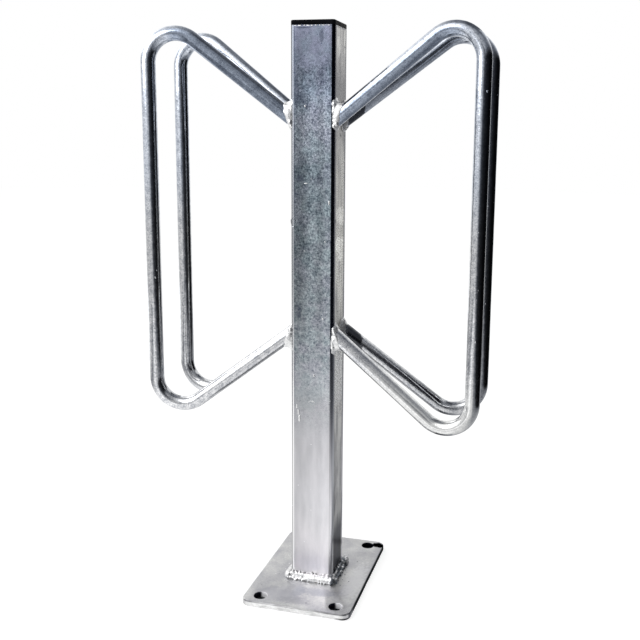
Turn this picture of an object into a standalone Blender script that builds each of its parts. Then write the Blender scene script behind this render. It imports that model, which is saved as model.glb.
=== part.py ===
"""Parking stand for two bikes, in metres with +Z up.

A square post stands on an anchor plate. Two pairs of bent bar hoops are welded to its left and right
sides, and a front wheel is pushed in between the two hoops of a pair. The origin is the middle of the
plate's underside, +X runs along the hoops to the right, and the front of the post faces -Y.
"""

import math

import bmesh
import bpy
from mathutils import Matrix, Vector

# Gap kept between two parts that touch
CLEARANCE = 0.0003

# Square post
POST_SIZE = 0.060
POST_WALL = 0.0025
POST_CORNER_RADIUS = 0.0045

# Anchor plate, measured from the post's faces
PLATE_THICKNESS = 0.009
PLATE_BESIDE_POST = 0.047
PLATE_BEFORE_POST = 0.0775
PLATE_CORNER_RADIUS = 0.012
PLATE_EDGE_ROUNDING = 0.0012
ANCHOR_HOLE_DIAMETER = 0.018
ANCHOR_TO_PLATE_SIDE = 0.0235
ANCHOR_TO_PLATE_FRONT = 0.0175
DRAIN_HOLE_DIAMETER = 0.025
HOLE_CHAMFER = 0.0012

# Hoops, bent from round bar
BAR_DIAMETER = 0.020
BEND_RADIUS = 0.038
HOOP_REACH = 0.193
MOUTH_GAP = 0.076
MOUTH_HEIGHT = 0.584
ARM_SPACING = 0.288
HOOP_MIDDLE_HEIGHT = 0.511
POST_ABOVE_ARM = 0.1185

# Push-in end cap
CAP_HEAD_HEIGHT = 0.0062
CAP_EDGE_ROUNDING = 0.0015
CAP_SKIRT_DEPTH = 0.018
CAP_SKIRT_WALL = 0.0020
CAP_FIN_HEIGHT = 0.0012
CAP_FIN_COUNT = 4

# Weld seams
FOOT_WELD_LEG = 0.0095
ARM_WELD_LEG = 0.0060
ARM_WELD_PROUD = 0.0015
RIPPLE_HEIGHT = 0.0005
RIPPLE_PITCH = 0.0060

# Section of a fillet seam, as shares of its leg: across the plate, then up the post
BEAD_SECTION = ((1.0, 0.0), (0.78, 0.42), (0.42, 0.78), (0.0, 1.0))

# Section of a cap fin, as shares: of the fin pitch below its top, then of its height
FIN_SECTION = ((0.0, 0.0), (0.12, 1.0), (0.30, 1.0), (0.55, 0.0))

# Quarter of a rounded edge, as shares of its radius: inset from the side, then down from the face
ROUNDED_EDGE = ((1.0, 0.0), (0.3, 0.3), (0.0, 1.0))

# Facets
CORNER_STEPS = 6
BAR_SIDES = 20
BEND_STEPS = 12
HOLE_SIDES = 32
STEPS_PER_RIPPLE = 4
SMOOTH_ANGLE = math.radians(35)

# Places worked out from the sizes above
POST_HALF = POST_SIZE / 2
BAR_RADIUS = BAR_DIAMETER / 2
PLATE_HALF_X = POST_HALF + PLATE_BESIDE_POST
PLATE_HALF_Y = POST_HALF + PLATE_BEFORE_POST
POST_FOOT = PLATE_THICKNESS + CLEARANCE
POST_TOP = HOOP_MIDDLE_HEIGHT + ARM_SPACING / 2 + POST_ABOVE_ARM
ROOT_Y = POST_HALF - BAR_RADIUS
MOUTH_Y = MOUTH_GAP / 2 + BAR_RADIUS
FLARE_ANGLE = math.atan2(MOUTH_Y - ROOT_Y, HOOP_REACH)
HOOP_LENGTH = math.hypot(MOUTH_Y - ROOT_Y, HOOP_REACH)

SIDES = {"left": -1, "right": 1}
ENDS = {"front": -1, "back": 1}
LEVELS = {"upper": 1, "lower": -1}
FOOT_WELD_TURNS = {"front": 0, "right": 90, "back": 180, "left": 270}

# Finishes: colour, roughness, metallic
FINISHES = {
    "plate_zinc": ((0.60, 0.60, 0.58), 0.50, 0.85),
    "post_zinc": ((0.52, 0.54, 0.57), 0.42, 0.90),
    "bar_zinc": ((0.56, 0.57, 0.58), 0.38, 0.90),
    "weld_zinc": ((0.68, 0.68, 0.69), 0.34, 0.90),
    "black_plastic": ((0.012, 0.012, 0.013), 0.45, 0.0),
}


# Scene and materials


def clear_scene():
    for obj in list(bpy.data.objects):
        bpy.data.objects.remove(obj, do_unlink=True)


def give_material(obj, finish):
    colour, roughness, metallic = FINISHES[finish]
    material = bpy.data.materials.new(f"{obj.name}_{finish}")
    material.use_nodes = True
    shader = material.node_tree.nodes["Principled BSDF"]
    shader.inputs["Base Color"].default_value = (*colour, 1.0)
    shader.inputs["Roughness"].default_value = roughness
    shader.inputs["Metallic"].default_value = metallic
    material.diffuse_color = (*colour, 1.0)
    obj.data.materials.append(material)


def place_object(obj, parent, location, turn):
    bpy.context.scene.collection.objects.link(obj)
    obj.parent = parent
    obj.location = location
    obj.rotation_euler = (0, 0, turn)
    return obj


def add_empty(name, parent, location=(0, 0, 0), turn=0.0):
    return place_object(bpy.data.objects.new(name, None), parent, location, turn)


def add_part(name, mesh, finish, parent, location=(0, 0, 0), turn=0.0):
    part = place_object(bpy.data.objects.new(name, mesh), parent, location, turn)
    give_material(part, finish)
    return part


def add_cutter(name, mesh, parent, location=(0, 0, 0)):
    cutter = place_object(bpy.data.objects.new(name, mesh), parent, location, 0.0)
    cutter.hide_render = True
    cutter.display_type = "WIRE"
    return cutter


def cut(part, cutter):
    modifier = part.modifiers.new(f"cut_{cutter.name}", "BOOLEAN")
    modifier.operation = "DIFFERENCE"
    modifier.solver = "EXACT"
    modifier.object = cutter


# Mesh building from rings of points


def skin(name, rings, closed=False):
    """Joins rings of equally many points. An open run gets a flat face at each end."""
    bm = bmesh.new()
    rows = [[bm.verts.new(point) for point in ring] for ring in rings]
    count = len(rows[0])
    steps = len(rows) if closed else len(rows) - 1
    for i in range(steps):
        near, far = rows[i], rows[(i + 1) % len(rows)]
        for j in range(count):
            k = (j + 1) % count
            face = bm.faces.new((near[j], near[k], far[k], far[j]))
            face.smooth = True
    if not closed:
        bm.faces.new(reversed(rows[0]))
        bm.faces.new(rows[-1])
    bmesh.ops.recalc_face_normals(bm, faces=bm.faces)
    mesh = bpy.data.meshes.new(name)
    bm.to_mesh(mesh)
    bm.free()
    mesh.set_sharp_from_angle(angle=SMOOTH_ANGLE)
    return mesh


def rounded_rectangle(half_x, half_y, radius, z):
    """A level ring of points, anticlockwise from above."""
    points = []
    corners = ((1, 1, 0), (-1, 1, 90), (-1, -1, 180), (1, -1, 270))
    for sign_x, sign_y, start in corners:
        centre_x = sign_x * (half_x - radius)
        centre_y = sign_y * (half_y - radius)
        for step in range(CORNER_STEPS + 1):
            angle = math.radians(start + 90 * step / CORNER_STEPS)
            x = centre_x + radius * math.cos(angle)
            y = centre_y + radius * math.sin(angle)
            points.append(Vector((x, y, z)))
    return points


def square_ring(inset, z):
    """The post's outline at a height, drawn in by an inset."""
    radius = max(POST_CORNER_RADIUS - inset, CLEARANCE)
    return rounded_rectangle(POST_HALF - inset, POST_HALF - inset, radius, z)


def turns(count):
    """Angles of a full turn in equal steps."""
    return [2 * math.pi * step / count for step in range(count)]


def circle(radius, z):
    return [Vector((radius * math.cos(t), radius * math.sin(t), z)) for t in turns(HOLE_SIDES)]


# Anchor plate


def drill_mesh(name, diameter):
    """A drill with a flare at each face of the plate, so the hole's rims are chamfered."""
    radius = diameter / 2
    flare = radius + 2 * HOLE_CHAMFER
    profile = (
        (flare, -HOLE_CHAMFER),
        (radius, HOLE_CHAMFER),
        (radius, PLATE_THICKNESS - HOLE_CHAMFER),
        (flare, PLATE_THICKNESS + HOLE_CHAMFER),
    )
    return skin(name, [circle(r, z) for r, z in profile])


def anchor_places():
    x = PLATE_HALF_X - ANCHOR_TO_PLATE_SIDE
    y = PLATE_HALF_Y - ANCHOR_TO_PLATE_FRONT
    return [(sx * x, sy * y, 0.0) for sx in SIDES.values() for sy in ENDS.values()]


def plate_profile():
    """Insets and heights up the plate's rounded rim."""
    edge = [(inset * PLATE_EDGE_ROUNDING, down * PLATE_EDGE_ROUNDING) for inset, down in ROUNDED_EDGE]
    upper = [(inset, PLATE_THICKNESS - down) for inset, down in edge]
    return edge + upper[::-1]


def make_base_plate(stand):
    rings = []
    for inset, z in plate_profile():
        half_x, half_y = PLATE_HALF_X - inset, PLATE_HALF_Y - inset
        rings.append(rounded_rectangle(half_x, half_y, PLATE_CORNER_RADIUS - inset, z))
    plate = add_part("base_plate", skin("base_plate", rings), "plate_zinc", stand)
    drill = drill_mesh("anchor_drill", ANCHOR_HOLE_DIAMETER)
    for number, place in enumerate(anchor_places(), start=1):
        cut(plate, add_cutter(f"anchor_drill_{number}", drill, plate, place))
    drain_drill = drill_mesh("drain_drill", DRAIN_HOLE_DIAMETER)
    cut(plate, add_cutter("drain_drill", drain_drill, plate))


# Post and end cap


def make_post(stand):
    height = POST_TOP - POST_FOOT
    rings = (
        square_ring(0.0, 0.0),
        square_ring(0.0, height),
        square_ring(POST_WALL, height),
        square_ring(POST_WALL, 0.0),
    )
    mesh = skin("post_tube", rings, closed=True)
    return add_part("post_tube", mesh, "post_zinc", stand, (0, 0, POST_FOOT))


def cap_profile():
    """Insets and heights from the crown of the head, down the finned skirt and up inside it."""
    fin_root = POST_WALL + CLEARANCE + CAP_FIN_HEIGHT
    bore = fin_root + CAP_SKIRT_WALL
    fin_pitch = CAP_SKIRT_DEPTH / (CAP_FIN_COUNT + 0.5)
    profile = []
    for inset, down in ROUNDED_EDGE:
        profile.append((inset * CAP_EDGE_ROUNDING, CAP_HEAD_HEIGHT - down * CAP_EDGE_ROUNDING))
    profile += [(0.0, 0.0), (fin_root, 0.0)]
    for fin in range(CAP_FIN_COUNT):
        for below, out in FIN_SECTION:
            profile.append((fin_root - out * CAP_FIN_HEIGHT, -(fin + 0.5 + below) * fin_pitch))
    profile += [(fin_root, -CAP_SKIRT_DEPTH), (bore, -CAP_SKIRT_DEPTH), (bore, 0.0)]
    return profile


def make_end_cap(post):
    rings = [square_ring(inset, z) for inset, z in cap_profile()]
    place = (0, 0, POST_TOP - POST_FOOT + CLEARANCE)
    add_part("end_cap", skin("end_cap", rings), "black_plastic", post, place)


# Hoops, each in its own upright plane: X outwards, Z up, origin on the post's face


def arm_direction(level):
    return Vector((HOOP_LENGTH, 0, level * (MOUTH_HEIGHT - ARM_SPACING) / 2)).normalized()


def bend(before, corner, after):
    """Points on the arc that rounds a corner of the bar's centreline."""
    to_before = (before - corner).normalized()
    to_after = (after - corner).normalized()
    half = to_before.angle(to_after) / 2
    centre = corner + (to_before + to_after).normalized() * BEND_RADIUS / math.sin(half)
    start = corner + to_before * BEND_RADIUS / math.tan(half) - centre
    turn = math.pi - 2 * half
    axis = to_before.cross(start).normalized()
    points = []
    for step in range(BEND_STEPS + 1):
        rotation = Matrix.Rotation(turn * step / BEND_STEPS, 3, axis)
        points.append(centre + rotation @ start)
    return points


def hoop_centreline():
    root = Vector((0, 0, ARM_SPACING / 2))
    corner = Vector((HOOP_LENGTH, 0, MOUTH_HEIGHT / 2))
    low_corner = Vector((HOOP_LENGTH, 0, -MOUTH_HEIGHT / 2))
    low_root = Vector((0, 0, -ARM_SPACING / 2))
    rounded = bend(root, corner, low_corner) + bend(corner, low_corner, low_root)
    return [root, *rounded, low_root]


def around_bar(along, count):
    """Unit vectors that point away from a bar's centreline, where the bar runs in the XZ plane."""
    across = Vector((0, 1, 0))
    up = along.cross(across).normalized()
    return [math.cos(turn) * across + math.sin(turn) * up for turn in turns(count)]


def bar_ring(centre, along, radius):
    return [centre + radius * away for away in around_bar(along, BAR_SIDES)]


def slide_to_face(point, along, normal, gap):
    """Moves a point along the bar to the plane that lies a gap off the post's face."""
    return point + along * (gap - normal.dot(point)) / normal.dot(along)


def hoop_mesh(name, normal):
    path = hoop_centreline()
    last = len(path) - 1
    rings = []
    for i, point in enumerate(path):
        before, after = path[max(i - 1, 0)], path[min(i + 1, last)]
        rings.append(bar_ring(point, (after - before).normalized(), BAR_RADIUS))
    for index, level in ((0, 1), (last, -1)):
        along = arm_direction(level)
        rings[index] = [slide_to_face(point, along, normal, CLEARANCE) for point in rings[index]]
    return skin(name, rings)


# Weld seams


def swell(distance):
    """How far a seam's leg grows at a distance along it."""
    return RIPPLE_HEIGHT * math.sin(2 * math.pi * distance / RIPPLE_PITCH)


def arm_weld_section(leg):
    """Offsets away from the bar, and heights along it. The blank runs into the bar and the post."""
    inside = -BAR_RADIUS / 2
    depth = -POST_CORNER_RADIUS
    bead = [(leg * out, leg * up) for out, up in BEAD_SECTION]
    return [(inside, depth), (leg, depth), *bead, (inside, leg)]


def arm_weld_mesh(name, level, normal, outward):
    """A seam round an arm's end, still uncut. The origin is the arm's centre on the post's face."""
    along = arm_direction(level)
    limit = BAR_RADIUS + ARM_WELD_PROUD
    ripples = round(2 * math.pi * BAR_RADIUS / RIPPLE_PITCH)
    stations = ripples * STEPS_PER_RIPPLE
    rings = []
    for station, away in enumerate(around_bar(along, stations)):
        foot = slide_to_face(away * BAR_RADIUS, along, normal, 0.0)
        sideways = (away - normal * normal.dot(away)).normalized()
        leg = ARM_WELD_LEG + swell(station / STEPS_PER_RIPPLE * RIPPLE_PITCH)
        ring = []
        for offset, height in arm_weld_section(leg):
            point = foot + sideways * offset + along * height
            excess = max(outward.dot(point) - limit, 0.0)
            ring.append(point - outward * excess)
        rings.append(ring)
    return skin(name, rings, closed=True)


def add_post_cutter(stand):
    """The post's outside, grown by the clearance, which trims the seams that lie on it."""
    rings = [square_ring(-CLEARANCE, 0.0), square_ring(-CLEARANCE, POST_TOP)]
    return add_cutter("post_cutter", skin("post_cutter", rings), stand)


def add_arm_cutter(name, mount, level):
    """A straight stretch of bar, grown by the clearance, which bores the seam round an arm."""
    along = arm_direction(level)
    reach = along * BAR_DIAMETER * 2
    rings = [bar_ring(centre, along, BAR_RADIUS + CLEARANCE) for centre in (-reach, reach)]
    return add_cutter(name, skin(name, rings), mount, (0, 0, level * ARM_SPACING / 2))


def make_hoop(stand, side, end, post_cutter):
    """One hoop and the seams at its two arms, on an empty that stands on the post's side face."""
    place = f"{side}_{end}"
    side_sign, end_sign = SIDES[side], ENDS[end]
    flare = end_sign * side_sign * FLARE_ANGLE
    location = (side_sign * POST_HALF, end_sign * ROOT_Y, HOOP_MIDDLE_HEIGHT)
    mount = add_empty(f"mount_{place}", stand, location, flare + math.pi * (side_sign < 0))
    normal = Vector((math.cos(flare), -math.sin(flare), 0))
    outward = Vector((math.sin(flare), math.cos(flare), 0)) * end_sign * side_sign
    add_part(f"hoop_{place}", hoop_mesh(f"hoop_{place}", normal), "bar_zinc", mount)
    for level, level_sign in LEVELS.items():
        name = f"weld_{place}_{level}"
        mesh = arm_weld_mesh(name, level_sign, normal, outward)
        seam = add_part(name, mesh, "weld_zinc", mount, (0, 0, level_sign * ARM_SPACING / 2))
        cut(seam, post_cutter)
        cut(seam, add_arm_cutter(f"bore_{place}_{level}", mount, level_sign))


def foot_weld_path():
    """X places, turns of the outward direction and distances along one side of the post's foot."""
    radius = POST_CORNER_RADIUS
    flat = POST_HALF - radius
    angles = [math.radians(45 * step / CORNER_STEPS) for step in range(CORNER_STEPS + 1)]
    corner = [(flat + radius * math.sin(a), -a, flat + radius * a) for a in angles]
    steps = round(2 * flat / RIPPLE_PITCH * STEPS_PER_RIPPLE)
    straight = [-flat + 2 * flat * step / steps for step in range(1, steps)]
    first = [(-x, -a, -distance) for x, a, distance in reversed(corner)]
    return first + [(x, 0.0, x) for x in straight] + corner


def foot_weld_mesh(name):
    """One side's seam in the corner of post and plate, along X with the post at +Y."""
    radius = POST_CORNER_RADIUS
    rings = []
    for x, angle, distance in foot_weld_path():
        y = radius - POST_HALF - radius * math.cos(angle)
        outwards = Vector((-math.sin(angle), -math.cos(angle), 0))
        start = Vector((x, y, 0)) + outwards * CLEARANCE
        leg = FOOT_WELD_LEG + swell(distance)
        bead = [outwards * leg * out + Vector((0, 0, leg * up)) for out, up in BEAD_SECTION]
        rings.append([start] + [start + offset for offset in bead])
    draw_back_ends(rings)
    return skin(name, rings)


def draw_back_ends(rings):
    """Moves both end rings along the seam by a clearance, so it stays clear of the next side's seam."""
    for ring, along in ((rings[0], 1), (rings[-1], -1)):
        for point in ring:
            point.x += along * CLEARANCE


def make_foot_welds(stand):
    for side, degrees in FOOT_WELD_TURNS.items():
        name = f"foot_weld_{side}"
        turn = math.radians(degrees)
        add_part(name, foot_weld_mesh(name), "weld_zinc", stand, (0, 0, POST_FOOT), turn)


def main():
    clear_scene()
    stand = add_empty("bike_stand", None)
    make_base_plate(stand)
    post = make_post(stand)
    make_end_cap(post)
    post_cutter = add_post_cutter(stand)
    for side in SIDES:
        for end in ENDS:
            make_hoop(stand, side, end, post_cutter)
    make_foot_welds(stand)


main()
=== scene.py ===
"""Bike parking stand, dressed for the render: a hot-dip galvanised post, plate, hoops and weld seams.

Nineteen pieces are finer meshes of the solids that they replace, in the same places, and four more hold
small drops of zinc. The model is in metres with +Z up. The front of the post faces -Y, the hoops run out
along X, and the plate's underside is at Z = 0.
"""

from functools import cached_property
from math import atan2, cos, hypot, pi, radians, sin, sqrt, tan
from random import Random

import bmesh
import bpy
from mathutils import Matrix, Vector, noise


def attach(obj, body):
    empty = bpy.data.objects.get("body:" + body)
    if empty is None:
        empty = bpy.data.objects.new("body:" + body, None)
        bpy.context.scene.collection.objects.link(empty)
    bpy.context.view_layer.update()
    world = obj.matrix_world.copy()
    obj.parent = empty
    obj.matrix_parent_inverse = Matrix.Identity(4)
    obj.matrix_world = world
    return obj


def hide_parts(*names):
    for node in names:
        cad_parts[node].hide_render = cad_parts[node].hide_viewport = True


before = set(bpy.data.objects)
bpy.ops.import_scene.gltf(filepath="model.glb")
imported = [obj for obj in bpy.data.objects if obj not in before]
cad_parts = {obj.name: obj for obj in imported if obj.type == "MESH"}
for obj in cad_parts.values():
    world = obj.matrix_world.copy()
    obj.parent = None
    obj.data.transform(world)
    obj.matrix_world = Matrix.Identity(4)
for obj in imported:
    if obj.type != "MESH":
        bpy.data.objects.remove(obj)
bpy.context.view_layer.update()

MM = 0.001

# Sizes of the solids
CLEARANCE = 0.3 * MM
POST_HALF = 30 * MM
POST_WALL = 2.5 * MM
POST_CORNER = 4.5 * MM
PLATE_HALF_X = 77 * MM
PLATE_HALF_Y = 107.5 * MM
PLATE_TOP = 9 * MM
PLATE_CORNER = 12 * MM
HOLE_X = 53.5 * MM
HOLE_Y = 90 * MM
HOLE_RADIUS = 9 * MM
DRAIN_RADIUS = 12.5 * MM
BAR_RADIUS = 10 * MM
BEND_RADIUS = 38 * MM
HOOP_REACH = 193 * MM
MOUTH_GAP = 76 * MM
MOUTH_HEIGHT = 584 * MM
ARM_SPACING = 288 * MM
HOOP_MIDDLE = 511 * MM
POST_TOP = 773.5 * MM
STAND_TOP = 780 * MM

ROOT_Y = POST_HALF - BAR_RADIUS
MOUTH_Y = MOUTH_GAP / 2 + BAR_RADIUS
FLARE = atan2(MOUTH_Y - ROOT_Y, HOOP_REACH)
HOOP_LENGTH = hypot(MOUTH_Y - ROOT_Y, HOOP_REACH)

SIDES = {"left": -1, "right": 1}
ENDS = {"front": -1, "back": 1}
LEVELS = {"upper": 1, "lower": -1}
FOOT_QUARTERS = {"front": 0, "right": 1, "back": 2, "left": 3}
HOOPS = [(side, end) for side in SIDES for end in ENDS]
HOLES = [(SIDES[side] * HOLE_X, ENDS[end] * HOLE_Y) for side, end in HOOPS]

ACROSS = Vector((0, 1, 0))
FORWARD = Vector((0, -1, 0))
UP = Vector((0, 0, 1))


# Node materials


def rgba(levels):
    """A colour from red, green and blue in percent, or from one grey."""
    return (*(level / 100 for level in (*levels, *levels, *levels)[:3]), 1.0)


class Recipe:
    """The nodes of a material or a world. Lengths are in millimetres, and colours in percent.

    A mask is a number, a value, or a tuple with the arguments of span. paint, tint and patched change the
    colour that has been mixed so far. Patches also carry painted shade in places.
    """

    def __init__(self, name, kind="materials"):
        self.owner = getattr(bpy.data, kind).new(name)
        self.owner.use_nodes = True
        self.tree = self.owner.node_tree
        self.colour = None

    @cached_property
    def coordinates(self):
        return self.add("TexCoord")

    @cached_property
    def axes(self):
        return self.add("SeparateXYZ", {0: self.coordinates["Object"]})

    @cached_property
    def rays(self):
        return self.add("LightPath")

    @cached_property
    def mirrored(self):
        return self.math("MAXIMUM", self.rays["Is Glossy Ray"], self.rays["Is Transmission Ray"])

    def feed(self, node, values):
        """Links or sets inputs of a node."""
        for key, value in values.items():
            socket = node.inputs[key]
            if isinstance(value, bpy.types.NodeSocket):
                self.tree.links.new(value, socket)
            elif socket.type == "RGBA":
                socket.default_value = rgba(value if hasattr(value, "__len__") else [value])
            else:
                socket.default_value = value

    def add(self, kind, inputs=None, **settings):
        """Adds a node and gives its outputs."""
        node = self.tree.nodes.new(f"ShaderNode{kind}")
        for key, value in settings.items():
            setattr(node, key, value)
        self.feed(node, inputs or {})
        return node.outputs

    def math(self, operation, *values, clamp=False):
        return self.add("Math", dict(enumerate(values)), operation=operation, use_clamp=clamp)[0]

    def times(self, *masks):
        first, *others = (self.span(*mask) if isinstance(mask, tuple) else mask for mask in masks)
        for other in others:
            first = self.math("MULTIPLY", first, other)
        return first

    def total(self, *terms):
        """Weighted sum of values, each given as (weight, value)."""
        result = None
        for weight, value in terms:
            scaled = self.math("MULTIPLY", value, weight)
            result = scaled if result is None else self.math("ADD", result, scaled)
        return result

    def between(self, value, low, high, out_low=0.0, out_high=1.0, kind="SMOOTHSTEP"):
        """Moves from one output to the other as a value goes from low to high."""
        inputs = {"Value": value, 1: low, 2: high, 3: out_low, 4: out_high}
        return self.add("MapRange", inputs, interpolation_type=kind)[0]

    def span(self, along, low, high, *outs, **kind):
        """The same between two places along an axis, or two lengths."""
        length = self.axes[along] if isinstance(along, str) else along
        return self.between(length, low * MM, high * MM, *outs, **kind)

    def stretched(self, shift, stretch=(1, 1, 1)):
        place = self.coordinates["Object"]
        if stretch == (1, 1, 1) and not shift:
            return place
        inputs = {"Vector": place, "Location": (shift, shift * 0.7, shift * 0.3), "Scale": stretch}
        return self.add("Mapping", inputs)[0]

    def cloud(self, size, detail=2, stretch=(1, 1, 1), shift=0, roughness=0.5):
        """Grey noise from 0 to 1 with features of a size. A stretch below 1 draws them out along an axis."""
        inputs = {"Vector": self.stretched(shift, stretch), "Scale": 1 / (size * MM)}
        return self.add("TexNoise", {**inputs, "Detail": detail, "Roughness": roughness})[0]

    def cells(self, size, shift):
        """Cells of a size: the distance from their middles, and a random number for each."""
        made = self.add("TexVoronoi", {"Vector": self.stretched(shift), "Scale": 1 / (size * MM)})
        return made["Distance"], self.add("SeparateColor", {"Color": made["Color"]})[0]

    def spots(self, size, radius, shift, keep):
        """Round spots, 1 inside: one in each cell of a size, of which only a share is kept."""
        distance, chance = self.cells(size, shift)
        ragged = self.cloud(radius * 1.5, detail=1, shift=shift)
        near = self.total((1.0, distance), (radius / size, ragged))
        inside = self.between(near, radius / size * 1.5, radius / size)
        return self.times(inside, self.math("LESS_THAN", chance, keep))

    def oval_patch(self, axes, centre, halves, soft=0.6):
        """An oval patch with a ragged soft edge, 1 in its middle. Centre and halves lie along two axes."""
        ragged = self.cloud(4, detail=3, shift=21)
        parts = []
        for axis, middle, half in zip(axes, centre, halves):
            off = self.math("DIVIDE", self.math("SUBTRACT", self.axes[axis], middle * MM), half * MM)
            parts.append(self.times(off, off))
        far = self.math("ADD", self.math("ADD", *parts), self.math("MULTIPLY_ADD", ragged, 1.6, -0.8))
        return self.between(far, 1.0, 1.0 - soft)

    def ramp(self, value, *stops):
        """Colours along a value. Each stop is a position in percent and the levels of its colour."""
        made = self.add("ValToRGB", {"Fac": value})[0]
        elements = made.node.color_ramp.elements
        while len(elements) < len(stops):
            elements.new(1.0)
        for element, (position, *levels) in zip(elements, stops):
            element.position = position / 100
            element.color = rgba(levels)
        return made

    def graded(self, along, stops):
        """Colours along an axis or a length. Each stop is a place and the levels of its colour."""
        low, high = stops[0][0], stops[-1][0]
        share = self.span(along, low, high, kind="LINEAR")
        return self.ramp(share, *((100 * (place - low) / (high - low), *levels) for place, *levels in stops))

    def mix(self, share, first, second, blend="MIX"):
        return self.add("Mix", {0: share, 6: first, 7: second}, data_type="RGBA", blend_type=blend)[2]

    def paint(self, shade, *masks):
        """Covers the colour with a shade where all the masks are 1."""
        self.colour = self.mix(self.times(*masks), self.colour, shade)

    def tint(self, shade, *masks):
        """Multiplies the colour by a shade where all the masks are 1, or everywhere."""
        self.colour = self.mix(self.times(*masks or [1.0]), self.colour, shade, "MULTIPLY")

    def patched(self, shade, axes, ovals, *masks, soft=0.6):
        """Paints oval patches, each given as centre and half sizes along two axes, and strength."""
        for *place, strength in ovals:
            self.paint(shade, self.oval_patch(axes, place[:2], place[2:], soft), strength, *masks)

    def finish(self, roughness, metallic, relief, depth, **others):
        """Feeds the material's shader, with the colour and with bumps of a depth."""
        normal = self.add("Bump", {"Height": relief, "Distance": depth * MM, "Strength": 1.0})[0]
        inputs = {"Base Color": self.colour, "Roughness": roughness, "Metallic": metallic, "Normal": normal}
        self.feed(self.tree.nodes["Principled BSDF"], {**inputs, **others})
        return self.owner

    def glow(self, strength):
        return self.add("Emission", {"Color": self.colour, "Strength": strength})[0]

    def show(self, surface):
        self.feed(self.tree.nodes["Material Output"], {"Surface": surface})
        return self.owner


# Zinc on the bars

BACK_ARM_SHADE = (48, 15)


def bar_zinc():
    mat = Recipe("bar_zinc")
    grain = mat.cloud(1.7, detail=3, roughness=0.7)
    patches = mat.cloud(9, detail=5, shift=3, roughness=0.65)
    tone = mat.total((0.6, grain), (0.4, patches))
    mat.colour = mat.ramp(tone, (36, 27, 28.5, 32), (50, 58, 59, 61), (62, 84, 84, 85))
    flecks = mat.spots(5, 0.9, shift=9, keep=0.45)
    mat.paint((95, 95, 96), flecks)
    mat.paint((6, 6.5, 8), mat.spots(7, 0.9, shift=15, keep=0.3), 0.7)

    # Painted reflection: bluer on the upper half, and darker on the front of the upper arms, most on their sides that
    # face down
    high = mat.span("Z", 480, 600)
    mat.tint((93, 98, 106), high)
    facing = mat.add("SeparateXYZ", {0: mat.coordinates["Normal"]})
    steep = mat.total((1, facing["Z"]), (0.35, mat.span("X", -5, 5)))
    on_arms = mat.span(mat.math("ABSOLUTE", mat.axes["X"]), 205, 180)
    shaded = mat.between(facing["Y"], 0.1, -0.5), mat.between(steep, 0.72, 0.42)
    mat.tint((53, 57, 63), high, on_arms, ("Y", -10, -16), *shaded)

    # Paler on the lower front arm at the right, and painted black shade on the back arms behind it, near the post
    mat.paint((90, 90, 88), ("X", 50, 90), ("Y", -10, -16), ("Z", 350, 290, 0, 0.55))
    mat.paint((1.5, 1.8, 2.5), mat.oval_patch("XY", BACK_ARM_SHADE, (13, 10), 0.4), 0.9)
    roughness = mat.between(mat.cloud(2.4, shift=1), 0.3, 0.7, 0.08, 0.17)
    relief = mat.total((0.4, grain), (0.6, mat.cloud(5, shift=5)), (0.6, flecks))
    return mat.finish(roughness, 1, relief, 0.05)


# Zinc on the post, with painted reflection and shade. Levels are heights in millimetres and colours in percent,
# bands are places along X and brightness, and runs, patches and marks are centres and half sizes along two axes, and
# strength.

SIDE_METAL = 0.55

# Side levels: warm grey zinc graded up the side as painted reflection, and near black at the foot as painted shade
SIDE_TONE_AND_REFLECTION = (
    (20, 1.5, 1.8, 3.5), (50, 3, 3.5, 6), (75, 14, 14, 17), (100, 82, 82, 83), (140, 82, 82, 83), (165, 64, 64, 65),
    (240, 80, 80, 79), (340, 100, 100, 99), (380, 62, 62, 60), (500, 52, 52, 50), (600, 46, 46, 45),
    (660, 26, 26, 27), (700, 20, 20, 21.5), (725, 35, 35, 36), (780, 62),
)
SIDE_RUNS = (
    (-10, 748, 10, 17, 0.42), (20, 755, 6, 22, 0.45), (0, 529, 30, 12, 0.48), (8, 520, 14, 8, 0.4),
    (-4, 488, 28, 13, 0.58), (4, 473, 15, 9, 0.55), (10, 225, 8, 30, 0.45), (-12, 300, 7, 22, 0.35),
)
DARK_SIDE_PATCH = (-24, 696, 22, 26, 0.42)
BRIGHT_SIDE_PATCH = (0, 300, 40, 42, 0.6)

# Front levels: painted reflection, pale at the foot and banded higher up, and blue-grey at the top, partly duller
# zinc
FRONT_TONE_AND_REFLECTION = (
    (20, 85, 83, 85), (120, 69, 69, 71), (210, 59, 59, 61), (270, 53, 54.5, 56.5), (300, 57, 60, 63),
    (360, 65, 70, 74), (420, 70, 77, 82), (520, 68, 77.5, 84), (580, 58, 68, 76), (650, 80, 88, 100),
    (690, 61, 70, 86), (716, 34, 39, 49), (740, 22.5, 25.3, 32.5), (780, 23.5, 26.2, 33.5),
)
# Bands across the front: painted reflection, darker at the left and brighter at the right, with streaks in the upper
# part
FRONT_BANDS_UPPER = (
    (-27, 50), (-22, 45), (-14, 47), (-7, 70), (0, 81), (5, 80), (9, 70), (14, 68), (18, 88), (22, 97), (27, 92),
)
FRONT_BANDS_LOWER = ((-27, 83), (-18, 84), (-6, 94), (2, 100), (10, 100), (18, 114), (27, 112))
# Dark marks on the front; the long thin one at 770 mm is a painted shadow line under the cap's rim
FRONT_STAINS_AND_SHADOW = (
    (-17, 578, 6, 5.5, 0.6), (12.5, 760, 3.5, 10, 0.55), (-7.5, 670, 2.8, 3.5, 0.8), (9.5, 578, 5.5, 8, 0.4),
    (-21.5, 690, 3.5, 30, 0.5), (-13, 680, 6, 12, 0.35), (-19, 400, 5, 12, 0.4), (-13, 770, 12, 0.8, 0.85),
    (-24.2, 761, 0.8, 9, 0.6),
)
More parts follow.
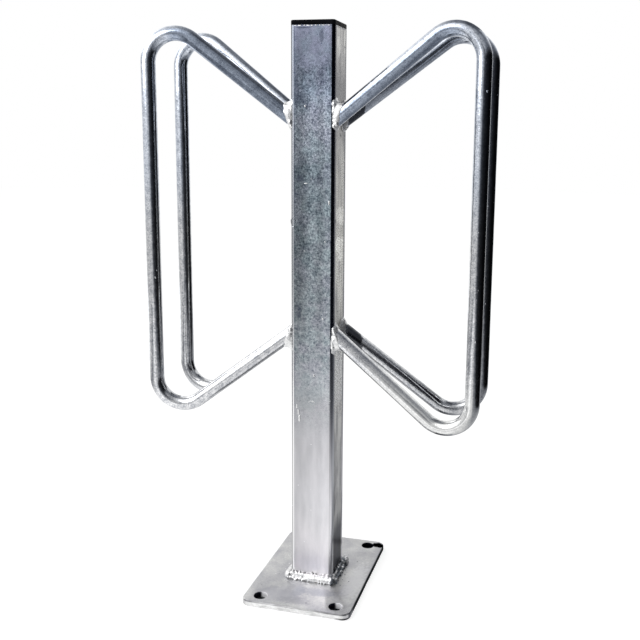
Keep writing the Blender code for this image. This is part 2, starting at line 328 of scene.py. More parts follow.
# Painted reflection on the post's rounded edges: dark at the right, pale at the left
RIGHT_EDGE_REFLECTION = (
    (20, 97, 97, 100), (120, 97, 97, 100), (190, 75, 75, 78), (270, 28, 29, 32), (380, 4, 4.5, 7), (780, 1.2, 1.4, 3),
)
LEFT_EDGE_REFLECTION = (
    (20, 90, 90, 91), (200, 86, 86, 87), (290, 92, 92, 93), (360, 74, 75, 77), (450, 46, 48, 50), (620, 46, 48, 52),
    (700, 28, 30, 34.5), (780, 24, 26, 30),
)


def post_zinc():
    """Mottled zinc: blue-grey at the top of the front, pale at its foot, and warm grey on the other sides. The levels
    up the front and sides and the rounded edges carry painted reflection and shade.
    """
    mat = Recipe("post_zinc")
    from_x, from_y = (mat.math("ABSOLUTE", mat.axes[axis]) for axis in "XY")
    front = mat.times(("Y", -29.2, -29.7), (from_x, 26.8, 26))
    beside = mat.math("ADD", from_y, mat.span("Z", 640, 690, 5.8 * MM, 3.8 * MM))
    leftwards = mat.math("MULTIPLY_ADD", mat.axes["X"], -0.015, from_x)
    corner = mat.span(mat.math("MINIMUM", leftwards, beside), 25.3, 26)
    upper = mat.span("Z", 190, 370)

    # Clouds, grain and drawn-out patches
    clouds = mat.cloud(24, detail=4, stretch=(1, 1, 0.6), roughness=0.6)
    blots = mat.cloud(5.5, detail=4, shift=8, roughness=0.7)
    grain = mat.cloud(2.5, shift=2, roughness=0.6)
    streaks = mat.cloud(10, detail=3, stretch=(1, 1, 0.16), shift=4)
    drawn_out = mat.total((0.25, clouds), (0.65, streaks), (0.1, grain))

    # Sides and back, with pale runs down the right side
    on_right = mat.span("X", 20, 25)
    # Painted reflection graded up the sides, and painted shade at the foot, which only the right side keeps; the
    # other sides stay light there
    mat.colour = mat.graded("Z", SIDE_TONE_AND_REFLECTION)
    mat.paint((80, 80, 81), mat.math("SUBTRACT", 1, on_right), ("Z", 105, 85))
    mat.tint(mat.ramp(drawn_out, (38, 42, 42, 44), (46, 66, 65, 64), (50, 80, 79, 77), (53, 100, 99, 96)))
    strokes = mat.cloud(7, detail=3, stretch=(1, 1, 0.45), shift=27)
    mat.patched((90, 90, 86), "YZ", SIDE_RUNS, on_right, mat.between(strokes, 0.36, 0.56, 0.65, 1.45))
    mat.patched((5, 5.5, 7), "YZ", [DARK_SIDE_PATCH])
    mat.patched((100, 100, 98), "YZ", [BRIGHT_SIDE_PATCH])
    mat.tint((42, 43, 46), ("X", -29, -29.7))
    side = mat.colour

    # Front, mottled above and smooth below
    mottles = mat.total((0.14, clouds), (0.4, blots), (0.46, grain))
    mottled = mat.ramp(mottles, (38, 15, 16.5, 19), (46, 36, 37.5, 40), (53, 58, 58, 59), (62, 88))
    smooth = mat.ramp(drawn_out, (36, 82, 82, 83), (64, 100, 99, 100))
    calm = mat.span(mat.total((1, mat.axes["Z"]), (0.05, clouds)), 742, 772)
    pattern = mat.mix(mat.times(calm, 0.75), mat.mix(upper, smooth, mottled), smooth)
    # Painted reflection in bands across the front, wandering a little
    wander = mat.math("MULTIPLY_ADD", mat.cloud(30, detail=3, shift=13), 14 * MM, -7 * MM)
    across = mat.math("ADD", mat.axes["X"], wander)
    banded = mat.times(("Z", 300, 420), ("Z", 738, 700))
    bands = mat.mix(banded, mat.graded(across, FRONT_BANDS_LOWER), mat.graded(across, FRONT_BANDS_UPPER))
    casts = mat.ramp(mat.cloud(16, shift=31), (36, 95, 100, 99), (50, 100), (64, 100, 96.5, 100))
    # Painted reflection in the front's levels: pale at the foot and blue-grey at the top
    mat.colour = mat.graded("Z", FRONT_TONE_AND_REFLECTION)
    mat.tint(pattern)
    mat.tint(bands)
    mat.tint(casts, upper)
    _, facets = mat.cells(4.5, 7)
    mat.paint((7, 9, 12), mat.between(facets, 0.8, 0.92), upper, 0.25)
    pocks = mat.spots(6, 1.3, shift=6, keep=0.35)
    mat.paint((3.5, 5, 9), pocks, upper, 0.75)
    # Dark marks, and a painted shadow line under the cap's rim
    mat.patched((5, 6, 9), "XZ", FRONT_STAINS_AND_SHADOW)
    faces = mat.mix(front, side, mat.colour)

    # Rounded edges with painted reflection, dark at the right and pale at the left, and a dark line beside the left
    # one
    mat.colour = mat.graded("Z", LEFT_EDGE_REFLECTION)
    mat.tint(mat.span(from_x, 26.6, 27.6, 0.95, 0.5))
    left_reflection, mat.colour = mat.colour, mat.graded("Z", RIGHT_EDGE_REFLECTION)
    mat.tint(mat.span("X", 26.8, 28, 0.6, 1))
    edges = mat.mix(mat.span("X", -5, 5), left_reflection, mat.colour)
    mat.colour = mat.mix(corner, faces, edges)
    broken = mat.between(streaks, 0.35, 0.6, 0, 0.6)
    mat.paint((6, 7, 10), ("X", -23.2, -23.9), ("X", -25.6, -25), broken, upper, ("Y", -28, -29.5))

    flecks = mat.spots(9, 0.9, shift=11, keep=0.2)
    mat.paint((88, 89, 91), flecks, 0.8)
    roughness = mat.between(mat.mix(upper, 55, grain), 0.3, 0.7, 0.2, 0.34)
    relief = mat.total((0.55, grain), (0.25, clouds), (0.5, flecks), (-0.6, pocks))
    metallic = mat.between(mat.math("MAXIMUM", front, corner), 0, 1, SIDE_METAL, 1)
    return mat.finish(roughness, metallic, mat.times(relief, ("Z", 100, 360, 0.12, 1)), 0.035)


# Zinc on the plate, whose patches have a colour each

# Blue-grey patches in front of the post, the first and third painted shade where the plate mirrors the post; darker
# and paler patches beside them, and a small dark dent
PLATE_PATCHES_AND_SHADE = (
    (20, -62, 34, 12, 0.45, (30, 32, 38)), (-30, -80, 45, 22, 0.45, (38, 38, 43)),
    (-6, -64, 12, 16, 0.4, (34, 36, 42)), (55, -46, 10, 20, 0.2, (50, 48, 60)),
    (13, -92, 1.8, 1.8, 0.8, (20, 19, 24)), (62, -20, 18, 70, 0.55, (80, 80, 81)),
    (-5, -90, 28, 12, 0.55, (36, 36, 40)),
)
BACK_HOLE_STAIN = (68.5, 94.5)


def plate_zinc():
    mat = Recipe("plate_zinc")
    clouds = mat.cloud(30, detail=5, roughness=0.6)
    grain = mat.cloud(1.8, detail=3, shift=2)
    tone = mat.total((0.6, clouds), (0.4, grain))
    mat.colour = mat.ramp(tone, (33, 40, 40, 43.5), (50, 55, 55, 56), (66, 70, 70, 68.5))
    pocks = mat.spots(14, 1.4, shift=6, keep=0.22)
    mat.paint((20, 20, 22), pocks, 0.5)
    for *oval_patch, shade in PLATE_PATCHES_AND_SHADE:
        mat.patched(shade, "XY", [oval_patch], soft=0.9)
    black = mat.oval_patch("XY", BACK_HOLE_STAIN, (11.5, 7.5), 0.3)
    mat.paint((0.4, 0.4, 0.5), black)

    # Edges: pale mottled zinc in front, partly painted reflection, with a dark line under the rounded top edge;
    # painted shade on the right edge, and the lower part of the front dark towards the right corner
    below = mat.span("Z", 8.7, 7.6)
    scale = mat.cloud(9, detail=4, shift=23, stretch=(0.6, 1, 1.6), roughness=0.65)
    mat.paint(mat.ramp(scale, (38, 60), (52, 77), (62, 90)), below, ("Y", -106, -107))
    broken = mat.between(mat.cloud(30, detail=3, shift=17), 0.35, 0.65, 0.45, 0.9)
    mat.paint((16, 16, 17), ("Z", 6.8, 7.4), ("Z", 8.95, 8.5), ("Y", -103, -105), broken)
    mat.paint((6, 6.5, 8), ("X", 74, 76.3), below)
    rightwards = mat.total((1, mat.axes["X"]), (-0.03, clouds))
    mat.paint((1.5, 1.5, 2), (rightwards, 34, 58), ("Y", -95, -103), ("Z", 4.2, 2.4))

    # Walls of the anchor holes with painted light and shade: pale where they face the lamp, dark where they face away
    # from it
    offsets = []
    for axis, hole in (("X", HOLE_X), ("Y", HOLE_Y)):
        nearest = mat.math("MULTIPLY", mat.math("SIGN", mat.axes[axis]), hole)
        offsets.append(mat.math("SUBTRACT", mat.axes[axis], nearest))
    off_axis = mat.math("SQRT", mat.math("ADD", *(mat.times(offset, offset) for offset in offsets)))
    inside = mat.between(off_axis, HOLE_RADIUS + 0.6 * MM, HOLE_RADIUS + 0.2 * MM)
    sideways = mat.total((1, offsets[0]), (0.15, offsets[1]))
    lit = mat.times((sideways, -2.8, 1.4), ("Y", 20, -20))
    mat.paint(mat.mix(lit, (2, 2, 3.5), (97, 97, 100)), inside)
    metallic = mat.math("SUBTRACT", 1, mat.times(inside, lit))
    relief = mat.total((0.6, grain), (0.4, clouds), (-0.5, pocks))
    roughness = mat.between(grain, 0.3, 0.7, 0.36, 0.52)
    return mat.finish(roughness, metallic, relief, 0.05, **{"Specular Tint": mat.mix(black, 100, 0)})


# Zinc on the seams, and the cap's plastic


def weld_zinc():
    mat = Recipe("weld_zinc")
    grain = mat.cloud(1.4, detail=3)
    lumps = mat.cloud(6, detail=3, shift=3)
    tone = mat.total((0.4, grain), (0.6, lumps))
    mat.colour = mat.ramp(tone, (34, 60, 61, 62), (50, 84), (64, 94))
    # Painted dark reflection on the lumps low down on the right foot seam
    mat.paint((10, 12, 15), ("X", 29.5, 31.5), ("Z", 40, 30), mat.between(lumps, 0.62, 0.5), 0.85)
    return mat.finish(mat.between(grain, 0.3, 0.7, 0.36, 0.5), 1, grain, 0.06)


def black_plastic():
    mat = Recipe("black_plastic")
    scuffs = mat.cloud(9, detail=4, stretch=(0.4, 1, 1), shift=2)
    mat.colour = mat.ramp(scuffs, (40, 0.15, 0.18, 0.3), (70, 0.6, 0.65, 0.9))
    roughness = mat.between(scuffs, 0.35, 0.7, 0.42, 0.58)
    return mat.finish(roughness, 0, mat.cloud(0.8), 0.04, **{"Specular IOR Level": 0.04})


MATERIALS = {
    "galvanised_plate": plate_zinc(),
    "galvanised_post": post_zinc(),
    "galvanised_bar": bar_zinc(),
    "galvanised_weld": weld_zinc(),
    "cap_plastic": black_plastic(),
}


# Mesh building


def turns(count):
    """Angles all round a circle."""
    return [2 * pi * step / count for step in range(count)]


def circle(x, y, radius, z, sides=48):
    return [(x + radius * cos(turn), y + radius * sin(turn), z) for turn in turns(sides)]


def waves(point, size, seed=0):
    """Smooth noise between about -1 and 1 with features of a size in millimetres."""
    return noise.noise(point / (size * MM) + Vector((seed, seed * 1.7, -seed)))


def add_object(name, data):
    obj = bpy.data.objects.new(name, data)
    bpy.context.scene.collection.objects.link(obj)
    return obj


def even_normals(bm):
    bmesh.ops.recalc_face_normals(bm, faces=bm.faces)


def mesh_from(name, bm):
    mesh = bpy.data.meshes.new(name)
    bm.to_mesh(mesh)
    bm.free()
    return mesh


def modified(obj):
    """The mesh that an object's modifiers make of it."""
    depsgraph = bpy.context.evaluated_depsgraph_get()
    return bpy.data.meshes.new_from_object(obj.evaluated_get(depsgraph))


def shade_smooth(mesh, sharp_angle):
    mesh.shade_smooth()
    mesh.set_sharp_from_angle(angle=radians(sharp_angle))


def add_piece(name, bm, slot, node=None, sharp_angle=40):
    """Turns a bmesh into a piece of the stand that rides on its one body."""
    even_normals(bm)
    mesh = mesh_from(name, bm)
    shade_smooth(mesh, sharp_angle)
    piece = add_object(name, mesh)
    mesh.materials.append(MATERIALS[slot])
    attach(piece, "root")
    if node:
        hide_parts(node)
    return piece


def skin(rings, closed=False):
    """Joins rings of equally many points. An open run gets a flat face at each end."""
    bm = bmesh.new()
    rows = [[bm.verts.new(point) for point in ring] for ring in rings]
    for near, far in zip(rows, rows[1:] + rows[:closed]):
        for i in range(len(near)):
            k = (i + 1) % len(near)
            bm.faces.new((near[i], near[k], far[k], far[i]))
    if not closed:
        bm.faces.new(reversed(rows[0]))
        bm.faces.new(rows[-1])
    return bm


def rounded_rectangle(half_x, half_y, radius, z, corner_steps, side_steps):
    """A level ring of points, anticlockwise from above, with evenly spaced points along its sides."""
    corners = []
    for sign_x, sign_y, start in ((1, 1, 0), (-1, 1, 90), (-1, -1, 180), (1, -1, 270)):
        centre = Vector((sign_x * (half_x - radius), sign_y * (half_y - radius), z))
        angles = [radians(start + 90 * step / corner_steps) for step in range(corner_steps + 1)]
        corners.append([centre + radius * Vector((cos(angle), sin(angle), 0)) for angle in angles])
    points = []
    for arc, following in zip(corners, corners[1:] + corners[:1]):
        points += [*arc, *(arc[-1].lerp(following[0], step / side_steps) for step in range(1, side_steps))]
    return points


def quarter(radius, steps):
    """Insets and drops of a rounded edge, from its flat face out to its side."""
    angles = [pi / 2 * step / steps for step in range(steps + 1)]
    return [(radius * (1 - sin(a)), radius * (1 - cos(a))) for a in angles]


# Base plate

PLATE_EDGE = 2 * MM
PLATE_WEAR = 0.25 * MM
HOLE_EDGE = 1.2 * MM
HOLE_SIDES = 64


def drill(x, y, radius):
    """A drill whose ends flare out, so the rims of its hole are rounded off."""
    profile = [(radius + 3 * HOLE_EDGE, -2 * HOLE_EDGE)]
    profile += [(radius + inset, drop) for inset, drop in quarter(HOLE_EDGE, 4)]
    profile += [(r, PLATE_TOP - z) for r, z in reversed(profile)]
    return skin([circle(x, y, r, z, HOLE_SIDES) for r, z in profile])


def cut_holes(plate, drills):
    cutters = []
    for number, bm in enumerate(drills):
        even_normals(bm)
        cutter = add_object(f"drill_{number}", mesh_from(f"drill_{number}", bm))
        modifier = plate.modifiers.new("hole", "BOOLEAN")
        modifier.operation = "DIFFERENCE"
        modifier.solver = "EXACT"
        modifier.object = cutter
        cutters.append(cutter)
    plate.data = modified(plate)
    plate.modifiers.clear()
    for cutter in cutters:
        bpy.data.objects.remove(cutter)


def build_plate():
    profile = quarter(PLATE_EDGE, 5)
    profile += [(inset, PLATE_TOP - drop) for inset, drop in reversed(profile)]
    rings = []
    for inset, z in profile:
        ring = rounded_rectangle(PLATE_HALF_X - inset, PLATE_HALF_Y - inset, PLATE_CORNER - inset, z, 14, 24)
        centre = Vector((0, 0, z))
        rings.append([p + (centre - p).normalized() * PLATE_WEAR * (1 + waves(p, 14, 3)) for p in ring])
    plate = add_piece("plate", skin(rings), "galvanised_plate", "base_plate")
    drills = [drill(x, y, HOLE_RADIUS) for x, y in HOLES]
    cut_holes(plate, [*drills, drill(0, 0, DRAIN_RADIUS)])
    shade_smooth(plate.data, 30)


# Post and end cap

POST_STEPS = 190
POST_HOLLOW = 0.16 * MM
CAP_EDGE = 1.5 * MM
CAP_SKIRT = 18 * MM
FIN_PITCH = 4 * MM
FIN_DEPTH = 1.2 * MM


def post_ring(inset, z, least_radius=CLEARANCE, side_steps=12):
    half = POST_HALF - inset
    return rounded_rectangle(half, half, max(POST_CORNER - inset, least_radius), z, 8, side_steps)


def build_post():
    """A drawn tube with slightly hollow faces and a little roughness in its zinc."""
    foot = PLATE_TOP + CLEARANCE
    rings = []
    for step in range(POST_STEPS + 1):
        ring = []
        for point in post_ring(0, foot + (POST_TOP - foot) * step / POST_STEPS):
            dent = POST_HOLLOW * (1 - (min(abs(point.x), abs(point.y)) / POST_HALF) ** 2)
            dent += 0.05 * MM * (1 + waves(point, 30, 2)) + 0.03 * MM * (1 + waves(point, 7, 5))
            ring.append(point + Vector((-point.x, -point.y, 0)).normalized() * dent)
        rings.append(ring)
    rim = ((0.8 * MM, 0), (POST_WALL - 0.4 * MM, 0), (POST_WALL, 0.4 * MM), (POST_WALL, POST_TOP - foot))
    rings += [post_ring(inset, POST_TOP - drop) for inset, drop in rim]
    add_piece("post", skin(rings, closed=True), "galvanised_post", "post_tube")


def build_cap():
    """The cap's head with rounded edges, over a skirt with fins that grip the tube."""
    head_foot = POST_TOP + CLEARANCE
    profile = [(28 * MM, STAND_TOP - 0.35 * MM), (14 * MM, STAND_TOP - 0.1 * MM)]
    profile += [(inset, STAND_TOP - drop) for inset, drop in quarter(CAP_EDGE, 6)]
    root = POST_WALL + CLEARANCE + FIN_DEPTH
    profile += [(0, head_foot + 0.4 * MM), (0.3 * MM, head_foot), (root, head_foot)]
    for fin in range(4):
        top = head_foot - 2 * MM - fin * FIN_PITCH
        for inset, drop in ((root, 0), (root - FIN_DEPTH, 0.5), (root - FIN_DEPTH, 1), (root, 2.2)):
            profile.append((inset, top - drop * MM))
    inner = root + 2 * MM
    profile += [(root, head_foot - CAP_SKIRT), (inner, head_foot - CAP_SKIRT), (inner, head_foot)]
    rings = [post_ring(inset, z, 0.4 * MM, 6) for inset, z in profile]
    add_piece("cap", skin(rings), "cap_plastic", "end_cap", sharp_angle=50)


# Hoops, each in its own upright plane: X outwards, Z up, origin on the post's face

BEND_STEPS = 32
BAR_STEP = 2.5 * MM
BAR_SIDES = 44


def arm_direction(sign):
    return Vector((HOOP_LENGTH, 0, sign * (MOUTH_HEIGHT - ARM_SPACING) / 2)).normalized()


def bend(before, corner, after):
    """Points on the arc that rounds a corner of the bar's centreline."""
    to_before, to_after = (before - corner).normalized(), (after - corner).normalized()
    half = to_before.angle(to_after) / 2
    centre = corner + (to_before + to_after).normalized() * BEND_RADIUS / sin(half)
    start = corner + to_before * BEND_RADIUS / tan(half) - centre
    turn, axis = pi - 2 * half, to_before.cross(start).normalized()
    return [centre + Matrix.Rotation(turn * i / BEND_STEPS, 3, axis) @ start for i in range(BEND_STEPS + 1)]


def even_steps(points, step):
    """The same line with points a step apart."""
    result = [points[0]]
    for start, end in zip(points, points[1:]):
        count = max(1, round((end - start).length / step))
        result += [start.lerp(end, i / count) for i in range(1, count + 1)]
    return result


def hoop_centreline():
    spots = ((0, ARM_SPACING), (HOOP_LENGTH, MOUTH_HEIGHT), (HOOP_LENGTH, -MOUTH_HEIGHT), (0, -ARM_SPACING))
    corners = [Vector((x, 0, z / 2)) for x, z in spots]
    return even_steps([corners[0], *bend(*corners[:3]), *bend(*corners[1:]), corners[3]], BAR_STEP)


def off_bar(along, turn):
    """The way off the bar's centreline, at an angle round it."""
    return cos(turn) * ACROSS + sin(turn) * along.cross(ACROSS).normalized()


def to_face(point, along, normal, gap):
    """Moves a point along the bar to the plane that lies a gap off the post's face, in millimetres."""
    return point + along * (gap * MM - normal.dot(point)) / normal.dot(along)


def hoop_frame(side, end):
    """The hoop's own frame, and the way off the post's face and the way outwards within it."""
    side_sign, end_sign = SIDES[side], ENDS[end]
    flare = end_sign * side_sign * FLARE
    place = Matrix.Translation((side_sign * POST_HALF, end_sign * ROOT_Y, HOOP_MIDDLE))
    turn = Matrix.Rotation(flare + pi * (side_sign < 0), 4, "Z")
    normal = Vector((cos(flare), -sin(flare), 0))
    outward = Vector((sin(flare), cos(flare), 0)) * end_sign * side_sign
    return place @ turn, normal, outward


def build_hoop(side, end):
    place, normal, _ = hoop_frame(side, end)
    path = hoop_centreline()
    last = len(path) - 1
    rings = []
    for i, point in enumerate(path):
        along = (path[min(i + 1, last)] - path[max(i - 1, 0)]).normalized()
        ring = []
        for turn in turns(BAR_SIDES):
            away = off_bar(along, turn)
            spot = place @ (point + away * BAR_RADIUS)
            dip = 0.05 + 0.05 * (1 + waves(spot, 26, 1)) + 0.04 * (1 + waves(spot, 8, 4))
            dip += 0.03 * (1 + waves(spot, 3.2, 8))
            ring.append(point + away * (BAR_RADIUS - dip * MM))
        rings.append(ring)
    for index, sign in ((0, 1), (last, -1)):
        along = arm_direction(sign)
        rings[index] = [to_face(point, along, normal, CLEARANCE / MM) for point in rings[index]]
    rings = [[place @ point for point in ring] for ring in rings]
    add_piece(f"bar_{side}_{end}", skin(rings), "galvanised_bar", f"hoop_{side}_{end}", sharp_angle=60)


# Weld seams, melted from lumps of metal

FILLET_STEPS = 96
ARM_SEAM_VOXEL = 0.5 * MM
FOOT_SEAM_VOXEL = 0.55 * MM
ARM_SEAM_RELIEF = 0.22 * MM
FOOT_SEAM_RELIEF = 0.25 * MM

SEAM_BEADS = {
    # Ends, from the arm's middle towards its sharp corner, and thickness, in millimetres
    ("right", "front", "upper"): ((8, 19, 2.8), (-9, 6, 2.1)),
    ("right", "front", "lower"): ((7, 16, 3.1),),
    ("left", "front", "upper"): ((-2, 16, 1.9), (-9, -4, 2.3)),
    ("left", "front", "lower"): ((-12, -2, 1.6), (2, 16, 1.6)),
}
OTHER_BEADS = ((-7, 5, 2),)
# Share of a foot seam's length at which its broad run starts
FOOT_RUN_START = {"front": 0.45, "right": 0.8, "back": 0.3, "left": 0.6}
FOOT_LUMPS = 34


def add_lump(bm, centre, radii):
    """A ball of metal, stretched by a radius in millimetres along each axis."""
    matrix = Matrix.Translation(centre) @ Matrix.Diagonal((*(r * MM for r in radii), 1))
    bmesh.ops.create_icosphere(bm, subdivisions=2, radius=1, matrix=matrix)


def merge_lumps(name, node, bm, voxel, relaxing, relief, seed):
    """Melts overlapping lumps into one closed skin, then roughens it."""
    lumps = add_object(name, mesh_from(name, bm))
    remesh = lumps.modifiers.new("melt", "REMESH")
    remesh.mode = "VOXEL"
    remesh.voxel_size = voxel
    lumps.modifiers.new("relax", "SMOOTH").iterations = relaxing
    melted = modified(lumps)
    bpy.data.objects.remove(lumps)
    result = bmesh.new()
    result.from_mesh(melted)
    even_normals(result)
    result.normal_update()
    for vert in result.verts:
        height = 0.6 * waves(vert.co, 3.4, seed) + 0.4 * waves(vert.co, 1.5, seed + 5)
        vert.co += vert.normal * height * relief
    add_piece(name, result, "galvanised_weld", node, sharp_angle=180)


def corner_depth(offset):
    """How far the post's rounded edge lies behind the plane of its face, at an offset from its axis."""
    into = min(max(offset - (POST_HALF - POST_CORNER), 0), POST_CORNER)
    return POST_CORNER - sqrt(POST_CORNER ** 2 - into ** 2)


def fillet(place, centre, along, normal, outward, sign, seed):
    """Rings of weld metal round the end of an arm, fullest in the sharp corner with the post."""
    rings = []
    for turn in turns(FILLET_STEPS):
        away = off_bar(along, turn)
        around = Vector((cos(turn), sin(turn), 0))
        uneven, uneven_too = waves(around, 350, seed), waves(around, 500, seed + 9)
        sharp = 0.5 + 0.5 * sin(turn) * sign
        flush = max(away.dot(outward), 0)

        # Where the seam ends on the post, sunk with the post's rounded edge, and on the bar
        post_reach = (3 + 8.5 * sharp ** 1.5 + 1.8 * uneven) * MM
        bar_reach = 4.6 + 6.4 * sharp + 2.4 * uneven_too
        toe = to_face(away * (BAR_RADIUS + post_reach), along, normal, 0)
        rim = BAR_RADIUS - max(0.6 + 1 * waves(toe, 5, seed + 3), 0.1) * MM
        beside = outward.dot(toe)
        if beside > rim:
            toe -= outward * (beside - rim)
            beside = rim
        toe -= normal * corner_depth(ROOT_Y + beside)
        bar_toe = to_face(away * (BAR_RADIUS + 0.1 * MM), along, normal, bar_reach)

        # Its rippled face between them, and its hidden inner side
        root = to_face(away * BAR_RADIUS, along, normal, 0)
        inner = away * (BAR_RADIUS - 1.2 * MM)
        hollow = 0.24 + 0.2 * uneven
        ripple = 0.5 + 0.5 * sin(26 * turn + 6 * uneven)
        swell = away * (0.35 + 0.75 * flush + 0.35 * ripple) * MM + normal * 0.25 * MM
        section = [
            to_face(inner, along, normal, bar_reach - 0.4),
            bar_toe,
            bar_toe.lerp(toe, 0.25).lerp(root, hollow * 0.75) + swell * 0.8,
            bar_toe.lerp(toe, 0.5).lerp(root, hollow) + swell,
            bar_toe.lerp(toe, 0.75).lerp(root, hollow * 0.75) + swell * 0.8,
            toe + normal * 0.25 * MM,
            toe - normal * 1.2 * MM - outward * 1.6 * flush * MM,
            to_face(inner, along, normal, -1.2),
        ]
        rings.append([place @ (centre + point) for point in section])
    return rings


def build_arm_seam(side, end, level):
    """A seam round the end of an arm, with a bead over the post's rounded edge."""
    place, normal, outward = hoop_frame(side, end)
    sign = LEVELS[level]
    along = arm_direction(sign)
    centre = Vector((0, 0, sign * ARM_SPACING / 2))
    vary = Random(f"{side} {end} {level}").uniform
    bm = skin(fillet(place, centre, along, normal, outward, sign, vary(0, 50)), closed=True)
    even_normals(bm)

    # The bead, and drops where the welder stopped
    for low, high, thick in SEAM_BEADS.get((side, end, level), OTHER_BEADS):
        count = max(2, round((high - low) / 1.5))
        for drop in range(count):
            height = low + (high - low) * drop / (count - 1)
            size = thick * vary(0.8, 1.18)
            spot = outward * (BAR_RADIUS - vary(1.4, 1.9) * MM) - normal * vary(0.7, 1.3) * MM
            spot += Vector((0, 0, sign * height * MM))
            add_lump(bm, place @ (centre + spot), (size, size, size * vary(1, 1.3)))
    for drop in range(3):
        away = off_bar(along, 2 * pi * (drop + vary(-0.4, 0.4)) / 3)
        foot = to_face(away * (BAR_RADIUS + 0.6 * MM), along, normal, vary(0.5, 3.5))
        foot -= outward * max(outward.dot(foot) - BAR_RADIUS - 0.2 * MM, 0)
        size = vary(2.2, 3.2)
        add_lump(bm, place @ (centre + foot), (size, size, size * vary(0.9, 1.5)))
    where = f"{side}_{end}_{level}"
    merge_lumps(f"seam_{where}", f"weld_{where}", bm, ARM_SEAM_VOXEL, 8, ARM_SEAM_RELIEF, vary(0, 50))


def quarter_turn(count):
    return Matrix.Rotation(radians(90 * count), 3, "Z")


def build_foot_seam(side):
    """A thick seam between the post's foot and the plate: two ridges, then one broad smooth run, with drips."""
    vary = Random(f"foot {side}").uniform
    turn = quarter_turn(FOOT_QUARTERS[side])
    bm = bmesh.new()

    def lump(x, out, high, radii):
        add_lump(bm, turn @ Vector((x, -POST_HALF - out * MM, PLATE_TOP + high * MM)), radii)

    reach = POST_HALF + 2.2 * MM
    for drop in range(FOOT_LUMPS):
        share = drop / (FOOT_LUMPS - 1)
        x = (2 * share - 1) * reach
        broad = min(max((share - FOOT_RUN_START[side]) / 0.1, 0), 1)
        wander = 0.7 * waves(Vector((x, 0, 0)), 7, 2 + share)
        # Upper and lower ridge, which the broad run covers
        lump(x, 2 + wander * 0.5, 6.2 + wander + vary(-0.5, 0.5), (2.4, 2.6, 2.5 + vary(-0.4, 0.5)))
        lump(x, 5.6 + wander, 2 + vary(-0.4, 0.4), (2.4, 2.7 + vary(-0.4, 0.5), 2.2))
        lump(x, 1.6, 1.6, (2.6, 2.8, 3.2))
        if broad > 0.0:
            size = 2.8 + 2.9 * broad + vary(-0.4, 0.4)
            lump(x - 0.6 * MM, 3.6 + wander * 0.6, 3.4, (size, size * 0.95, size * 0.95))

    # Drips on the plate and on the post
    for drop in range(9):
        x = vary(-reach, reach)
        size = vary(1.3, 2.2)
        lump(x, vary(7.6, 9.2), 0.4, (size * 0.9, size * 1.2, size * 0.7))
    for drop in range(7):
        x = vary(-0.9, 0.4) * reach
        size = vary(0.9, 1.6)
        lump(x, 0.4, vary(8.2, 9.8), (size, size * 0.8, size * 1.4))
    names = f"foot_seam_{side}", f"foot_weld_{side}"
    merge_lumps(*names, bm, FOOT_SEAM_VOXEL, 9, FOOT_SEAM_RELIEF, vary(0, 50))


# Small drops and runs of zinc

POST_DROPS = (
    # X and Z on the front, half width, half height, and how far the drop stands out, in millimetres
    (-19, 256, 1.4, 4.2, 0.7), (-17.5, 247, 1.6, 5, 0.8), (-21.2, 264, 1, 3, 0.5), (-9.5, 671.5, 1.2, 1.4, 0.8),
    (23.6, 546.7, 1.2, 3.2, 0.9), (18.4, 494.8, 0.9, 1, 0.7), (-8.5, 571.5, 2.8, 0.6, 0.6), (16, 390, 1, 1.4, 0.6),
    (3.5, 310, 1.1, 2, 0.5),
)
BAR_DROPS = (
    # Place in metres, normal, and radius in millimetres
    ((-0.2171, -0.0559, 0.4385), (0.6, -0.8, 0), 1.1),
    ((0.2287, -0.0560, 0.6887), (0.58, -0.81, 0), 1.3),
    ((0.2254, -0.0576, 0.3796), (0.24, -0.97, 0), 1.2),
)
FRONT_HOLLOW = 0.2 * MM


def on_front(x, z, sunk=FRONT_HOLLOW):
    """A place on the post's front, sunk by a length in metres."""
    return Vector((x * MM, -POST_HALF + sunk, z * MM))


def add_bead(bm, centre, normal, half_wide, half_high, height):
    """A drop of zinc, half sunk in a surface, with sizes across, up and off it in millimetres."""
    beside = (ACROSS if normal == UP else UP).cross(normal).normalized()
    up = normal.cross(beside).normalized()
    axes = Matrix((beside, up, normal)).transposed()
    sizes = Matrix.Diagonal((half_wide * MM, half_high * MM, height * MM, 1))
    matrix = Matrix.Translation(centre) @ axes.to_4x4() @ sizes
    made = bmesh.ops.create_icosphere(bm, subdivisions=3, radius=1, matrix=matrix)
    dent = 0.18 * min(half_wide, half_high) * MM
    for vert in made["verts"]:
        outward = (vert.co - centre).normalized()
        vert.co += outward * dent * waves(vert.co, 1.5 * half_wide, centre.z * 40)


def build_post_drops(draw):
    vary, post = draw.uniform, bmesh.new()
    for x, z, *sizes in POST_DROPS:
        add_bead(post, on_front(x, z, FRONT_HOLLOW if abs(x) < 24 else 0), FORWARD, *sizes)

    # A curved run in seven drops
    for step in range(7):
        share = step / 6 * 2 - 1
        add_bead(post, on_front(share * 3.8, 273.4 - share * share * 1.6), FORWARD, 0.9, 0.5, 0.55)

    # Broken line of bright zinc round the top edge
    for face in range(4):
        spin = quarter_turn(face)
        x = -25.0
        while x < 24.0:
            half = vary(0.8, 3)
            place = on_front(x + half, POST_TOP / MM - 0.9 + vary(-0.15, 0.15), 0.1 * MM)
            add_bead(post, spin @ place, spin @ FORWARD, half, vary(0.6, 0.8), 0.7)
            x += 2 * half + draw.choice((0.2, 0.6, 2.5))

    # Drops on the sides and back
    for face in range(1, 4):
        spin = quarter_turn(face)
        for drop in range(9):
            place = spin @ on_front(vary(-22, 22), vary(60, 750))
            size = vary(0.6, 1.5)
            add_bead(post, place, spin @ FORWARD, size, size * vary(1, 2.6), 0.6)
    add_piece("post_drops", post, "galvanised_weld")


